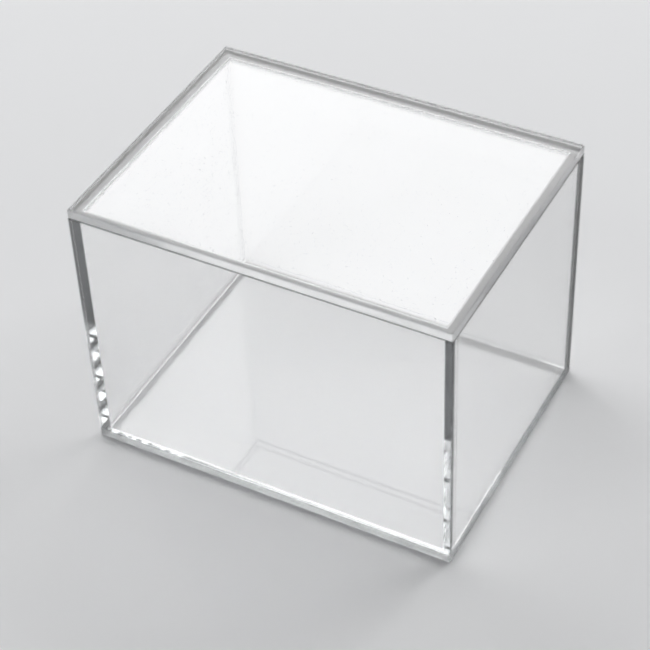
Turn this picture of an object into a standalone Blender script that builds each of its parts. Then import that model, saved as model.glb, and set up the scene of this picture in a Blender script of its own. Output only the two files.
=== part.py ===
"""Clear acrylic box with a lift-off lid.

A rectangular box cut from one thickness of clear cast acrylic sheet and solvent
cemented along its edges. The four walls stand on a full-size base plate. The
front and back walls run the whole length, so their end grain shows at the
corners, and the two side walls fit between them. The lid is a plate of the same
footprint as the box, with a thinner locating plate cemented under it that drops
inside the walls and keeps the lid centred.

Frame: metres, +Z up, origin on the ground under the middle of the base plate,
+X along the length, -Y towards the front.
"""

import bmesh
import bpy
from mathutils import Vector

# ---------------------------------------------------------------- dimensions
LENGTH = 0.200  # outside, along X
DEPTH = 0.150  # outside, along Y
HEIGHT = 0.150  # outside, along Z, with the lid on
SHEET = 0.005  # base, walls and lid plate
LOCATOR_SHEET = 0.003  # locating plate under the lid
JOINT = 0.0003  # solvent joint between cemented sheets
SEAT = 0.0003  # air between the walls' rim and the lid that rests on it
LOCATOR_CLEARANCE = 0.0005  # each side, locating plate to wall
ARRIS = 0.0004  # broken edge on every exposed corner of a sheet of the box
LID_ARRIS = 0.0008  # the same on the lid plate, which is handled by its edges
LEAD_IN = 0.0008  # chamfer round the underside of the locating plate
ARRIS_STEPS = 2  # facets across a broken edge

# ------------------------------------------------------------ derived levels
HALF_X, HALF_Y = LENGTH / 2, DEPTH / 2
WALL_BOTTOM = SHEET + JOINT
LID_BOTTOM = HEIGHT - SHEET
WALL_TOP = LID_BOTTOM - SEAT
LOCATOR_TOP = LID_BOTTOM - JOINT
LOCATOR_BOTTOM = LOCATOR_TOP - LOCATOR_SHEET
INNER_X, INNER_Y = HALF_X - SHEET, HALF_Y - SHEET

# ------------------------------------------------------------------- cleaning
for old in list(bpy.data.objects):
    bpy.data.objects.remove(old, do_unlink=True)


def acrylic(name, colour, roughness):
    """Clear cast acrylic: a glossy transmitting dielectric."""
    material = bpy.data.materials.new(name)
    material.use_nodes = True
    surface = material.node_tree.nodes["Principled BSDF"]
    surface.inputs["Base Color"].default_value = (*colour, 1.0)
    surface.inputs["Metallic"].default_value = 0.0
    surface.inputs["Roughness"].default_value = roughness
    surface.inputs["IOR"].default_value = 1.49
    surface.inputs["Transmission Weight"].default_value = 1.0
    return material


def sheet(name, low, high, material, arris_edges, arris=ARRIS, steps=ARRIS_STEPS):
    """A rectangular sheet between two corners given in the box's frame.

    The object's origin is the sheet's own centre. arris_edges says which edges
    are broken: it is given the two faces that meet at an edge, such as
    {'+x', '-z'}, and answers True or False.
    """
    low, high = Vector(low), Vector(high)
    centre, half = (low + high) / 2, (high - low) / 2
    mesh = bpy.data.meshes.new(name)
    bm = bmesh.new()
    bmesh.ops.create_cube(bm, size=2.0)
    for vert in bm.verts:
        vert.co = Vector(vert.co[i] * half[i] for i in range(3))

    def side(face):
        normal = face.normal
        axis = max(range(3), key=lambda i: abs(normal[i]))
        return ("+" if normal[axis] > 0 else "-") + "xyz"[axis]

    chosen = [
        edge
        for edge in bm.edges
        if arris_edges({side(face) for face in edge.link_faces})
    ]
    if chosen:
        bmesh.ops.bevel(
            bm,
            geom=chosen,
            offset=arris,
            offset_type="OFFSET",
            segments=steps,
            profile=0.5,
            affect="EDGES",
            clamp_overlap=True,
        )
    bm.normal_update()
    bm.to_mesh(mesh)
    bm.free()
    mesh.materials.append(material)
    mesh.shade_smooth()
    mesh.set_sharp_from_angle(angle=0.35)
    part = bpy.data.objects.new(name, mesh)
    part.location = centre
    bpy.context.scene.collection.objects.link(part)
    return part


# ------------------------------------------------------------ carrying frames
# The box stays where it stands. The lid hangs from an empty on the line along
# which it is lifted off.
box = bpy.data.objects.new("box", None)
bpy.context.scene.collection.objects.link(box)
lid = bpy.data.objects.new("lid", None)
lid.location = (0.0, 0.0, LID_BOTTOM)
bpy.context.scene.collection.objects.link(lid)


def carry(part, frame):
    part.parent = frame
    part.location = part.location - frame.location
    return part


# ----------------------------------------------------------------- base plate
# Full footprint. Its upper outer edges are left square, because the walls are
# trimmed flush with them there.
clear = (0.96, 0.97, 0.98)
carry(
    sheet(
        "base_plate",
        (-HALF_X, -HALF_Y, 0.0),
        (HALF_X, HALF_Y, SHEET),
        acrylic("base_acrylic", clear, 0.03),
        lambda sides: "+z" not in sides,
    ),
    box,
)

# ------------------------------------------------- front and back walls, full
# Broken along the rim and down the two outer corners. The foot stands on the
# base and the inner face takes the side walls, so those edges stay square.
wall = acrylic("wall_acrylic", clear, 0.03)
carry(
    sheet(
        "front_wall",
        (-HALF_X, -HALF_Y, WALL_BOTTOM),
        (HALF_X, -INNER_Y, WALL_TOP),
        wall,
        lambda sides: sides in ({"-y", "+z"}, {"-y", "-x"}, {"-y", "+x"}),
    ),
    box,
)
carry(
    sheet(
        "back_wall",
        (-HALF_X, INNER_Y, WALL_BOTTOM),
        (HALF_X, HALF_Y, WALL_TOP),
        wall,
        lambda sides: sides in ({"+y", "+z"}, {"+y", "-x"}, {"+y", "+x"}),
    ),
    box,
)

# ---------------------------------------------------- side walls, fitted inside
carry(
    sheet(
        "left_wall",
        (-HALF_X, -INNER_Y + JOINT, WALL_BOTTOM),
        (-INNER_X, INNER_Y - JOINT, WALL_TOP),
        wall,
        lambda sides: sides == {"-x", "+z"},
    ),
    box,
)
carry(
    sheet(
        "right_wall",
        (INNER_X, -INNER_Y + JOINT, WALL_BOTTOM),
        (HALF_X, INNER_Y - JOINT, WALL_TOP),
        wall,
        lambda sides: sides == {"+x", "+z"},
    ),
    box,
)

# ------------------------------------------------------------------------ lid
top = acrylic("lid_acrylic", clear, 0.03)
carry(
    sheet(
        "lid_plate",
        (-HALF_X, -HALF_Y, LID_BOTTOM),
        (HALF_X, HALF_Y, HEIGHT),
        top,
        lambda sides: True,
        arris=LID_ARRIS,
    ),
    lid,
)
carry(
    sheet(
        "lid_locating_plate",
        (
            -INNER_X + LOCATOR_CLEARANCE,
            -INNER_Y + LOCATOR_CLEARANCE,
            LOCATOR_BOTTOM,
        ),
        (
            INNER_X - LOCATOR_CLEARANCE,
            INNER_Y - LOCATOR_CLEARANCE,
            LOCATOR_TOP,
        ),
        top,
        lambda sides: "+z" not in sides,
        arris=LEAD_IN,
        steps=1,
    ),
    lid,
)
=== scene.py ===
import math

import bmesh
import bpy
from mathutils import Matrix, Vector


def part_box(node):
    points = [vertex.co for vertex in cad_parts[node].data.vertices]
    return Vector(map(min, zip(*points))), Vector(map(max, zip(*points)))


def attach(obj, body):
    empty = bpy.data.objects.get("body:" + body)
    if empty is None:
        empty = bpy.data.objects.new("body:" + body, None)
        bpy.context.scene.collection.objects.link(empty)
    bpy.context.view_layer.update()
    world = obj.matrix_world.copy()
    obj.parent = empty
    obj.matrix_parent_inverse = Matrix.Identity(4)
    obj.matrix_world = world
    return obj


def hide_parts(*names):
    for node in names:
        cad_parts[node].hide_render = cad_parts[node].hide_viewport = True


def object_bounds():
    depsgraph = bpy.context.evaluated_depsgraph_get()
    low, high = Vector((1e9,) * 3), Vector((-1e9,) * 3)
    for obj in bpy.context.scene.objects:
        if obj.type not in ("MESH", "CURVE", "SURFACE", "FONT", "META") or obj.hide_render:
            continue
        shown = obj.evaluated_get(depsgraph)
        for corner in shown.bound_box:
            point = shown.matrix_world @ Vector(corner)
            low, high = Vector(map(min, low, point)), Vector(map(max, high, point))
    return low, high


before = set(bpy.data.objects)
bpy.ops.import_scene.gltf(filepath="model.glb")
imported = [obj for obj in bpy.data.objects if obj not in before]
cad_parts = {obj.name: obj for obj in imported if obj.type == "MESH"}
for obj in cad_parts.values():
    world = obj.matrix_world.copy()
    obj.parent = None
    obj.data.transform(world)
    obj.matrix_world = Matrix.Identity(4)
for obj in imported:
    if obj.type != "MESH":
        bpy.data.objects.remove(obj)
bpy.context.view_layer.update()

# ---------------------------------------------------------------------------
# Clear cast acrylic box. Every sheet is a closed piece of its own, with three
# kinds of surface: the polished faces of the sheet, its machined edges, and
# the places where it is cemented to a neighbour. Cement joins two sheets into
# one clear body, so those faces let light straight through from one sheet to
# the next, and the light-guide stripes along the edges come from the sheets
# themselves.
# ---------------------------------------------------------------------------
JOINT = 0.00006  # solvent joint, thinner than the clearance of the plain solids
SEAT = 0.00010  # air under the lid
LOCATOR_CLEARANCE = 0.0005
ARRIS = 0.00035  # broken outer edges
LID_ARRIS = 0.0008  # the lid's edges are broken more, for the hand
GROOVE = 0.00012  # fine groove left along an outer joint line
DRY = (0.0005, 0.0010)  # strip of a foot joint that the cement missed, from the inner face

lo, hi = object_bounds()
HALF_X, HALF_Y, HEIGHT = hi.x, hi.y, hi.z
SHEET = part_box("base_plate")[1].z
LID_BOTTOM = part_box("lid_plate")[0].z
LOCATOR_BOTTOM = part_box("lid_locating_plate")[0].z
WALL_BOTTOM = SHEET + JOINT
WALL_TOP = LID_BOTTOM - SEAT
LOCATOR_TOP = LID_BOTTOM - JOINT
INNER_X, INNER_Y = HALF_X - SHEET, HALF_Y - SHEET


# ------------------------------------------------------------------ materials
def new_material(name):
    material = bpy.data.materials.new(name)
    material.use_nodes = True
    return material, material.node_tree, material.node_tree.nodes["Principled BSDF"]


def node(tree, kind, **values):
    made = tree.nodes.new(kind)
    for key, value in values.items():
        if key in made.inputs:
            made.inputs[key].default_value = value
        else:
            setattr(made, key, value)
    return made


def ramp(tree, source, low, high, to_low, to_high):
    mapped = node(tree, "ShaderNodeMapRange")
    mapped.inputs["From Min"].default_value = low
    mapped.inputs["From Max"].default_value = high
    mapped.inputs["To Min"].default_value = to_low
    mapped.inputs["To Max"].default_value = to_high
    tree.links.new(source, mapped.inputs["Value"])
    return mapped.outputs["Result"]


def acrylic(name, absorption, edge_gloss):
    """Clear cast acrylic. One material covers a whole sheet, because the sheet is
    one body of the same stuff. The sheet's faces carry two marks: "machined" is 0
    on the cast faces and 1 on sawn and scraped edges, and "glued" is 1 where the
    sheet is cemented to another, so that light goes straight through there.

    absorption: what the sheet takes from the light, per metre.
    edge_gloss: the range of roughness of the machined edges.
    """
    material, tree, surface = new_material(name)
    link = tree.links.new
    surface.inputs["Base Color"].default_value = (1.0, 1.0, 1.0, 1.0)
    surface.inputs["Metallic"].default_value = 0.0
    surface.inputs["IOR"].default_value = 1.49
    surface.inputs["Transmission Weight"].default_value = 1.0

    machined = node(tree, "ShaderNodeAttribute", attribute_name="machined")
    glued = node(tree, "ShaderNodeAttribute", attribute_name="glued")
    run = node(tree, "ShaderNodeUVMap", uv_map="run")
    place = node(tree, "ShaderNodeTexCoord")

    # gloss that varies in patches along a machined edge; the cast faces are mirrors
    patch_at = node(tree, "ShaderNodeMapping")
    patch_at.inputs["Scale"].default_value = (70.0, 300.0, 1.0)
    link(run.outputs["UV"], patch_at.inputs["Vector"])
    patch = node(tree, "ShaderNodeTexNoise", Scale=1.0, Detail=2.0, Roughness=0.5)
    link(patch_at.outputs["Vector"], patch.inputs["Vector"])
    gloss = ramp(tree, patch.outputs["Fac"], 0.3, 0.7, *edge_gloss)
    rough = node(tree, "ShaderNodeMath", operation="MULTIPLY")
    link(gloss, rough.inputs[0])
    link(machined.outputs["Fac"], rough.inputs[1])
    link(rough.outputs["Value"], surface.inputs["Roughness"])

    # saw marks across a machined edge, and the faint long waves of cast sheet
    marks_at = node(tree, "ShaderNodeMapping")
    marks_at.inputs["Scale"].default_value = (2600.0, 400.0, 1.0)
    link(run.outputs["UV"], marks_at.inputs["Vector"])
    marks = node(tree, "ShaderNodeTexNoise", Scale=1.0, Detail=3.0, Roughness=0.55)
    link(marks_at.outputs["Vector"], marks.inputs["Vector"])
    marks_high = node(tree, "ShaderNodeMath", operation="MULTIPLY")
    marks_high.inputs[1].default_value = 0.0000008
    link(marks.outputs["Fac"], marks_high.inputs[0])
    wave = node(tree, "ShaderNodeTexNoise", Scale=14.0, Detail=1.0, Roughness=0.4)
    link(place.outputs["Object"], wave.inputs["Vector"])
    wave_high = node(tree, "ShaderNodeMath", operation="MULTIPLY")
    wave_high.inputs[1].default_value = 0.000004
    link(wave.outputs["Fac"], wave_high.inputs[0])
    height = node(tree, "ShaderNodeMix", data_type="FLOAT")
    link(machined.outputs["Fac"], height.inputs["Factor"])
    link(wave_high.outputs["Value"], height.inputs["A"])
    link(marks_high.outputs["Value"], height.inputs["B"])
    bump = node(tree, "ShaderNodeBump", Strength=1.0, Distance=1.0)
    link(height.outputs["Result"], bump.inputs["Height"])
    link(bump.outputs["Normal"], surface.inputs["Normal"])

    # cement: clear, with the odd fine bubble
    cells = node(tree, "ShaderNodeTexVoronoi", Scale=420.0)
    link(place.outputs["Object"], cells.inputs["Vector"])
    spot = ramp(tree, cells.outputs["Distance"], 0.10, 0.16, 0.80, CEMENT_CLEAR)
    grey = node(tree, "ShaderNodeCombineColor")
    for key in ("Red", "Green", "Blue"):
        link(spot, grey.inputs[key])
    through = node(tree, "ShaderNodeBsdfTransparent")
    link(grey.outputs["Color"], through.inputs["Color"])
    either = node(tree, "ShaderNodeMixShader")
    link(glued.outputs["Fac"], either.inputs[0])
    link(surface.outputs["BSDF"], either.inputs[1])
    link(through.outputs["BSDF"], either.inputs[2])
    out = [n for n in tree.nodes if n.type == "OUTPUT_MATERIAL"][0]
    link(either.outputs["Shader"], out.inputs["Surface"])

    # the body of the sheet takes a little light away along its way
    body = node(tree, "ShaderNodeVolumeAbsorption")
    body.inputs["Color"].default_value = (*BODY_COLOUR, 1.0)
    body.inputs["Density"].default_value = absorption
    link(body.outputs["Volume"], out.inputs["Volume"])
    return material


BODY_COLOUR = (0.0, 0.02, 0.03)
CEMENT_CLEAR = 1.0
SLOT_MATERIALS = {
    "base_acrylic": acrylic("clear_base_sheet", 6.5, (0.34, 0.54)),
    "wall_acrylic": acrylic("clear_wall_sheet", 9.0, (0.36, 0.52)),
    "lid_acrylic": acrylic("clear_lid_sheet", 1.5, (0.30, 0.46)),
}


# --------------------------------------------------------------------- sheets
AXES = "xyz"


def key_of(normal):
    axis = max(range(3), key=lambda i: abs(normal[i]))
    if abs(normal[axis]) < 0.999:
        return None
    return ("+" if normal[axis] > 0 else "-") + AXES[axis]


def sheet(
    name, node_name, body, slot, low, high, edges, glued, cuts, machined, arris_matt=0.5
):
    """One sheet of acrylic.

    edges: for the two faces that meet at an edge, the width of its broken edge.
    glued: for a face's side and its middle, True where it is cemented.
    cuts: planes to divide the faces along, as (axis, place).
    machined: for each side that is a machined edge, how matt it was left, 0 to 1.
    arris_matt: the same for the broken edges.
    """
    low, high = Vector(low), Vector(high)
    centre, half = (low + high) / 2, (high - low) / 2
    bm = bmesh.new()
    bmesh.ops.create_cube(bm, size=2.0)
    for vert in bm.verts:
        vert.co = Vector(centre[i] + vert.co[i] * half[i] for i in range(3))
    bm.normal_update()
    weight = bm.edges.layers.float.new("bevel_weight_edge")
    for edge in bm.edges:
        pair = {key_of(face.normal) for face in edge.link_faces}
        edge[weight] = edges(pair) / ARRIS
    rough_mesh = bpy.data.meshes.new(name + "_block")
    bm.to_mesh(rough_mesh)
    bm.free()
    block = bpy.data.objects.new(name + "_block", rough_mesh)
    bpy.context.scene.collection.objects.link(block)
    bevel = block.modifiers.new("arris", "BEVEL")
    bevel.limit_method = "WEIGHT"
    bevel.width = ARRIS
    bevel.segments = 3
    bevel.profile = 0.5
    bevel.use_clamp_overlap = False
    graph = bpy.context.evaluated_depsgraph_get()
    mesh = bpy.data.meshes.new_from_object(block.evaluated_get(graph))
    mesh.name = name
    bpy.data.objects.remove(block)
    bpy.data.meshes.remove(rough_mesh)

    bm = bmesh.new()
    bm.from_mesh(mesh)
    for axis, place in cuts:
        point, normal = Vector(), Vector()
        point[AXES.index(axis)], normal[AXES.index(axis)] = place, 1.0
        bmesh.ops.bisect_plane(
            bm,
            geom=bm.verts[:] + bm.edges[:] + bm.faces[:],
            dist=1e-8,
            plane_co=point,
            plane_no=normal,
        )
    bm.normal_update()
    marks = {name: [] for name in ("machined", "glued")}
    for face in bm.faces:
        side = key_of(face.normal)
        stuck = side is not None and glued(side, face.calc_center_median())
        matt = arris_matt if side is None else machined.get(side, 0.0)
        marks["glued"].append(1.0 if stuck else 0.0)
        marks["machined"].append(0.0 if stuck else matt)
    # a map in metres, u along the longer way of each side of the sheet
    run = bm.loops.layers.uv.new("run")
    size = high - low
    for face in bm.faces:
        normal = face.normal
        flat = max(range(3), key=lambda i: abs(normal[i]))
        u, v = sorted((i for i in range(3) if i != flat), key=lambda i: -size[i])
        for loop in face.loops:
            loop[run].uv = (loop.vert.co[u], loop.vert.co[v])
    bm.to_mesh(mesh)
    bm.free()
    for mark, values in marks.items():
        layer = mesh.attributes.new(mark, "FLOAT", "FACE")
        layer.data.foreach_set("value", values)
    mesh.materials.clear()
    mesh.materials.append(SLOT_MATERIALS[slot])
    piece = bpy.data.objects.new(name, mesh)
    bpy.context.scene.collection.objects.link(piece)
    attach(piece, body)
    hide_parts(node_name)
    return piece


# The cement reached the whole foot of a wall but for a narrow strip near its
# inner face: all along it at the left and the front, along the near part at the
# right, and in two short places at the back.
RIGHT_DRY_TO = -0.012
BACK_DRY = ((0.053, 0.0565), (0.083, INNER_X))
FOOT_CUTS = [("y", RIGHT_DRY_TO)]
for depth in (0.0, *DRY):
    FOOT_CUTS += [("x", sign * (INNER_X + depth)) for sign in (-1, 1)]
    FOOT_CUTS += [("y", sign * (INNER_Y + depth)) for sign in (-1, 1)]
FOOT_CUTS += [("x", place) for patch in BACK_DRY for place in patch if place < INNER_X]


def on_foot(middle):
    """Over the cemented part of the four walls' feet, seen from above."""
    x, y = middle.x, middle.y
    in_side, in_long = abs(x) - INNER_X, abs(y) - INNER_Y
    depth = max(in_side, in_long)
    if not DRY[0] < depth < DRY[1]:
        return depth > 0
    if in_side > in_long:
        return x > 0 and y > RIGHT_DRY_TO
    return y > 0 and not any(low < x < high for low, high in BACK_DRY)


# base plate: broken round its foot, grooved where the walls stand flush on it
sheet(
    "clear_base_plate",
    "base_plate",
    "box",
    "base_acrylic",
    (-HALF_X, -HALF_Y, 0.0),
    (HALF_X, HALF_Y, SHEET),
    lambda pair: GROOVE if "+z" in pair else ARRIS,
    lambda side, middle: side == "+z" and on_foot(middle),
    FOOT_CUTS,
    {"-x": 1.0, "-y": 1.0, "+x": 0.3, "+y": 0.3},
)


def long_wall(name, node_name, y_low, y_high, outer, inner, ends):
    def edges(pair):
        if inner in pair:
            return GROOVE if pair & {"-x", "+x"} else 0.0
        if "-z" in pair:
            return GROOVE
        if outer in pair or "+z" in pair:
            return ARRIS
        return 0.0

    def glued(side, middle):
        if side == "-z":
            return on_foot(middle)
        return side == inner and abs(middle.x) > INNER_X

    sheet(
        name,
        node_name,
        "box",
        "wall_acrylic",
        (-HALF_X, y_low, WALL_BOTTOM),
        (HALF_X, y_high, WALL_TOP),
        edges,
        glued,
        FOOT_CUTS,
        {**ends, "+z": 1.0},
    )


# the ends of these two show at the corners; each was scraped a little differently
FRONT_ENDS, BACK_ENDS = {"-x": 0.5, "+x": 0.3}, {"-x": 0.15, "+x": 1.0}
long_wall(
    "clear_front_wall", "front_wall", -HALF_Y, -INNER_Y, "-y", "+y", FRONT_ENDS
)
long_wall("clear_back_wall", "back_wall", INNER_Y, HALF_Y, "+y", "-y", BACK_ENDS)


def side_wall(name, node_name, x_low, x_high, outer):
    def edges(pair):
        if outer not in pair:
            return 0.0
        return ARRIS if "+z" in pair else GROOVE

    sheet(
        name,
        node_name,
        "box",
        "wall_acrylic",
        (x_low, -INNER_Y + JOINT, WALL_BOTTOM),
        (x_high, INNER_Y - JOINT, WALL_TOP),
        edges,
        lambda side, middle: side in ("-y", "+y") or (side == "-z" and on_foot(middle)),
        FOOT_CUTS,
        {"+z": 1.0},
    )


side_wall("clear_left_wall", "left_wall", -HALF_X, -INNER_X, "-x")
side_wall("clear_right_wall", "right_wall", INNER_X, HALF_X, "+x")

# lid: the locating plate is cemented under the middle of the lid plate
LOC_X, LOC_Y = INNER_X - LOCATOR_CLEARANCE, INNER_Y - LOCATOR_CLEARANCE
sheet(
    "clear_lid_plate",
    "lid_plate",
    "lid",
    "lid_acrylic",
    (-HALF_X, -HALF_Y, LID_BOTTOM),
    (HALF_X, HALF_Y, HEIGHT),
    lambda pair: LID_ARRIS,
    lambda side, middle: side == "-z"
    and abs(middle.x) < LOC_X
    and abs(middle.y) < LOC_Y,
    [("x", -LOC_X), ("x", LOC_X), ("y", -LOC_Y), ("y", LOC_Y)],
    {"-x": 1.0, "+x": 1.0, "-y": 1.0, "+y": 1.0},
    arris_matt=1.0,
)
sheet(
    "clear_lid_locating_plate",
    "lid_locating_plate",
    "lid",
    "lid_acrylic",
    (-LOC_X, -LOC_Y, LOCATOR_BOTTOM),
    (LOC_X, LOC_Y, LOCATOR_TOP),
    lambda pair: 0.0 if "+z" in pair else ARRIS,
    lambda side, middle: side == "+z",
    [],
    {"-x": 1.0, "+x": 1.0, "-y": 1.0, "+y": 1.0},
    arris_matt=1.0,
)

# --------------------------------------------------------------------- camera
FOCAL_PX, AZIMUTH, ELEVATION, ROLL = 1953.55, 29.520, 42.163, -2.609
DISTANCE, AIM_RIGHT, AIM_UP = 0.97927, -0.0044361, -0.0148960

azimuth, elevation, roll = (math.radians(v) for v in (AZIMUTH, ELEVATION, ROLL))
back = Vector(
    (
        math.sin(azimuth) * math.cos(elevation),
        -math.cos(azimuth) * math.cos(elevation),
        math.sin(elevation),
    )
)
level = Vector((0, 0, 1)).cross(back).normalized()
rise = back.cross(level)
right = math.cos(roll) * level + math.sin(roll) * rise
up = -math.sin(roll) * level + math.cos(roll) * rise
aim = Vector((0, 0, HEIGHT / 2)) + right * AIM_RIGHT + up * AIM_UP
lens = bpy.data.cameras.new("camera")
lens.sensor_width = 36.0
lens.lens = FOCAL_PX / 650 * 36.0
camera = bpy.data.objects.new("camera", lens)
bpy.context.scene.collection.objects.link(camera)
pose = Matrix((right, up, back)).transposed().to_4x4()
pose.translation = aim + back * DISTANCE
camera.matrix_world = pose
bpy.context.scene.camera = camera

# ---------------------------------------------------------------- floor, light
# A pale floor that curves up all round into a low pale backdrop, and a dim room
# above it. The dim room is what the dark stripes in the edges show. The soft
# light behind on the left is the one that the lid mirrors, and the one at the
# left lays the dark bands beside the feet of the walls. The one behind on the
# right and the one in front on the left show in the ends of the sheets.
FLOOR_RADIUS, CURVE, WALL_RISE = 1.35, 0.55, 0.25


def backdrop():
    profile = [(0.0, 0.0), (0.35, 0.0), (0.8, 0.0), (FLOOR_RADIUS, 0.0)]
    for i in range(1, 13):
        turn = math.radians(90 * i / 12)
        profile.append(
            (FLOOR_RADIUS + CURVE * math.sin(turn), CURVE * (1 - math.cos(turn)))
        )
    profile.append((FLOOR_RADIUS + CURVE, CURVE + WALL_RISE))
    count = 96
    points, faces = [(0.0, 0.0, -0.0003)], []
    for radius, z in profile[1:]:
        for i in range(count):
            angle = 2 * math.pi * i / count
            points.append(
                (radius * math.cos(angle), radius * math.sin(angle), z - 0.0003)
            )
    for i in range(count):
        faces.append((0, 1 + i, 1 + (i + 1) % count))
    for ring in range(len(profile) - 2):
        a, b = 1 + ring * count, 1 + (ring + 1) * count
        for i in range(count):
            j = (i + 1) % count
            faces.append((a + i, b + i, b + j, a + j))
    mesh = bpy.data.meshes.new("floor")
    mesh.from_pydata(points, [], faces)
    mesh.shade_smooth()
    material, tree, surface = new_material("floor")
    surface.inputs["Base Color"].default_value = (0.885, 0.89, 0.90, 1.0)
    surface.inputs["Roughness"].default_value = 0.9
    surface.inputs["Specular IOR Level"].default_value = 0.0
    mesh.materials.append(material)
    floor = bpy.data.objects.new("floor", mesh)
    bpy.context.scene.collection.objects.link(floor)


backdrop()


def softbox(name, place, target, size, radiance):
    lamp = bpy.data.lights.new(name, "AREA")
    lamp.shape = "RECTANGLE"
    lamp.size, lamp.size_y = size
    lamp.energy = radiance * math.pi * size[0] * size[1]
    made = bpy.data.objects.new(name, lamp)
    bpy.context.scene.collection.objects.link(made)
    facing = (Vector(target) - Vector(place)).normalized()
    made.matrix_world = (
        Matrix.Translation(place) @ facing.to_track_quat("-Z", "Y").to_matrix().to_4x4()
    )


ROOM = 0.06  # radiance of the dim room
centre = Vector((0.0, 0.0, 0.10))


def toward(turn, climb, reach):
    """A place seen from the box at a bearing from the back (+Y), clockwise from
    above, and a height angle, both in degrees."""
    turn, climb = math.radians(turn), math.radians(climb)
    return centre + reach * Vector(
        (
            math.sin(turn) * math.cos(climb),
            math.cos(turn) * math.cos(climb),
            math.sin(climb),
        )
    )


softbox("overhead", (0.0, -0.5, 2.3), centre, (1.7, 1.7), 0.2)
softbox("behind_left", toward(-36, 42, 3.0), centre, (2.0, 1.6), 3.1)
softbox("left", toward(-72, 40, 3.0), centre, (1.4, 1.1), 3.5)
softbox("behind_right", toward(27, 45, 3.2), centre, (1.4, 1.15), 6.2)
softbox("front_left", toward(-154, 50, 3.0), centre, (0.85, 0.7), 4.4)

world = bpy.data.worlds.new("room")
bpy.context.scene.world = world
world.use_nodes = True
room = world.node_tree.nodes["Background"]
room.inputs["Color"].default_value = (1.0, 1.0, 1.0, 1.0)
room.inputs["Strength"].default_value = ROOM

# --------------------------------------------------------------------- output
scene = bpy.context.scene
scene.view_settings.view_transform = "Standard"
scene.view_settings.look = "None"
scene.view_settings.exposure = 0.0
scene.view_settings.gamma = 1.0
scene.cycles.max_bounces = 64
scene.cycles.diffuse_bounces = 4
scene.cycles.glossy_bounces = 32
scene.cycles.transmission_bounces = 64
scene.cycles.transparent_max_bounces = 64
scene.cycles.caustics_reflective = True
scene.cycles.caustics_refractive = True
scene.cycles.use_denoising = True
scene.cycles.blur_glossy = 0.0
scene.cycles.sample_clamp_indirect = 0.0
scene.cycles.filter_width = 2.3

bpy.context.view_layer.update()
